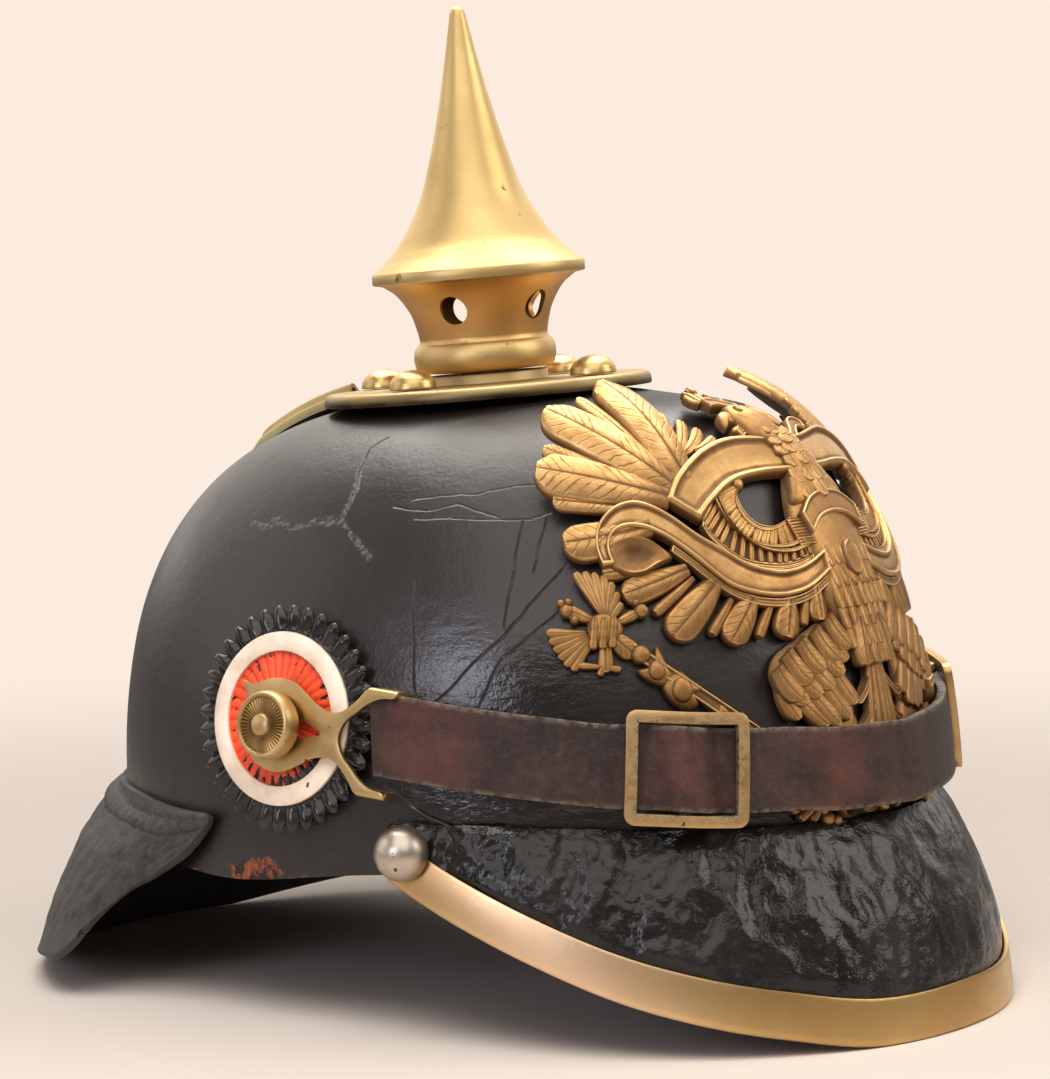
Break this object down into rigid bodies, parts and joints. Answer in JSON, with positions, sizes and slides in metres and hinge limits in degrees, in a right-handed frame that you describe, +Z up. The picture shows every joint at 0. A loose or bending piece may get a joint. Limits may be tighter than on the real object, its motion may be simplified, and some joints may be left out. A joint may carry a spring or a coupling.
{
  "type": "spiked leather helmet",
  "caption": "Black leather helmet with a brass spike, pierced eagle front plate, front and rear peaks, side cockades and a buckled chin strap.",
  "frame": {"origin": "middle of the box's underside, on the surface that the helmet rests on", "axes": "+Z up, -Y to the front of the helmet, +X to the wearer's left"},
  "size_m": [0.1902, 0.2532, 0.2353],
  "materials": {
    "skull_leather": "black lacquer, crackled",
    "peak_leather": "black lacquer, wrinkled",
    "strap_leather": "worn dark brown",
    "spike_brass": "satin",
    "plate_brass": "dull, tarnished",
    "trim_brass": "tarnished in patches",
    "gilt_brass": "stamped, gilt, dark in the hollows",
    "fitting_brass": "dull, verdigris at the edges",
    "nickel_silver": "polished nickel",
    "cockade_paint": "painted rings, chipped"
  },
  "bodies": {
    "root": {"shell": "skull_leather", "front_peak": "peak_leather", "rear_peak": "peak_leather", "peak_trim": "trim_brass", "trim_stud_right": "nickel_silver", "trim_stud_left": "nickel_silver", "eagle_plate": "gilt_brass", "base_plate": "plate_brass", "base_stud_front": "plate_brass", "base_stud_rear": "plate_brass", "base_stud_right": "plate_brass", "base_stud_left": "plate_brass", "spike": "spike_brass", "rear_spine": "plate_brass", "cockade_right": "cockade_paint", "cockade_left": "cockade_paint", "side_post_right": "fitting_brass", "side_post_left": "fitting_brass", "strap_hook_right": "fitting_brass", "strap_hook_left": "fitting_brass", "chin_strap": "strap_leather", "strap_buckle_right": "fitting_brass", "strap_buckle_left": "fitting_brass"}
  },
  "joints": []
}
